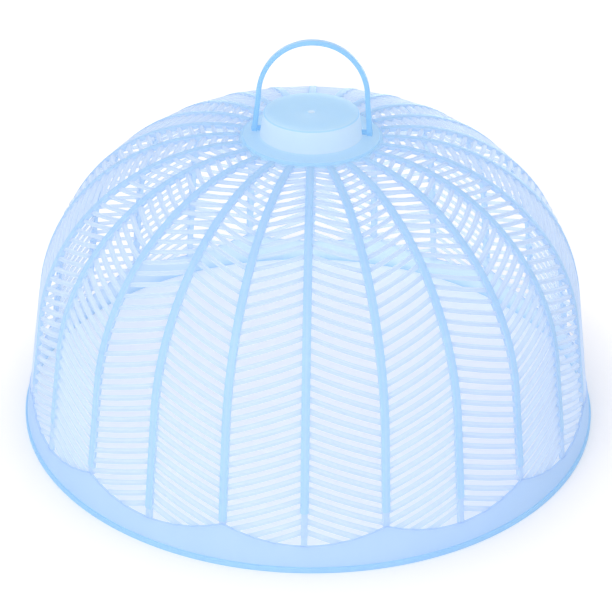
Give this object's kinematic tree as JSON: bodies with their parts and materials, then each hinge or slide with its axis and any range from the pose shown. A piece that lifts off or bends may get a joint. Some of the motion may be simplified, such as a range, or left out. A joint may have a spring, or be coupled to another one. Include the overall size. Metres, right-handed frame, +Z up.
{
  "type": "mesh food cover",
  "caption": "Domed food cover: an open herringbone lattice between ribs, a scalloped rim skirt, a flanged round crown boss and a bail handle that swings over it.",
  "frame": {"origin": "centre of the circle that the rim stands on", "axes": "+Z up along the dome's axis, -Y towards the front rib, X across the dome, 3.7 degrees from the handle's pivot axis"},
  "size_m": [0.4, 0.4, 0.2693],
  "materials": {
    "lattice": "pale blue translucent polypropylene, satin",
    "rib": "pale blue translucent polypropylene, satin",
    "skirt": "pale blue translucent polypropylene, satin",
    "crown": "pale blue translucent polypropylene, satin",
    "handle": "blue polypropylene, satin"
  },
  "bodies": {
    "dome": {"rim_skirt": "skirt", "crown_cap": "crown", "herringbone_leaf_01": "lattice", "herringbone_leaf_02": "lattice", "herringbone_leaf_03": "lattice", "herringbone_leaf_04": "lattice", "herringbone_leaf_05": "lattice", "herringbone_leaf_06": "lattice", "herringbone_leaf_07": "lattice", "herringbone_leaf_08": "lattice", "herringbone_leaf_09": "lattice", "herringbone_leaf_10": "lattice", "herringbone_leaf_11": "lattice", "herringbone_leaf_12": "lattice", "plain_rib_01": "rib", "plain_rib_02": "rib", "plain_rib_03": "rib", "plain_rib_04": "rib", "plain_rib_05": "rib", "plain_rib_06": "rib", "plain_rib_07": "rib", "plain_rib_08": "rib", "plain_rib_09": "rib", "plain_rib_10": "rib", "plain_rib_11": "rib", "plain_rib_12": "rib"},
    "handle": {"bail_handle": "handle"}
  },
  "joints": [
    {"name": "handle_swing", "type": "hinge", "parent": "dome", "child": "handle", "pos_m": [0, 0, 0.20631], "axis": [0.9979, -0.0645, 0], "range_deg": [-90, 90]}
  ]
}
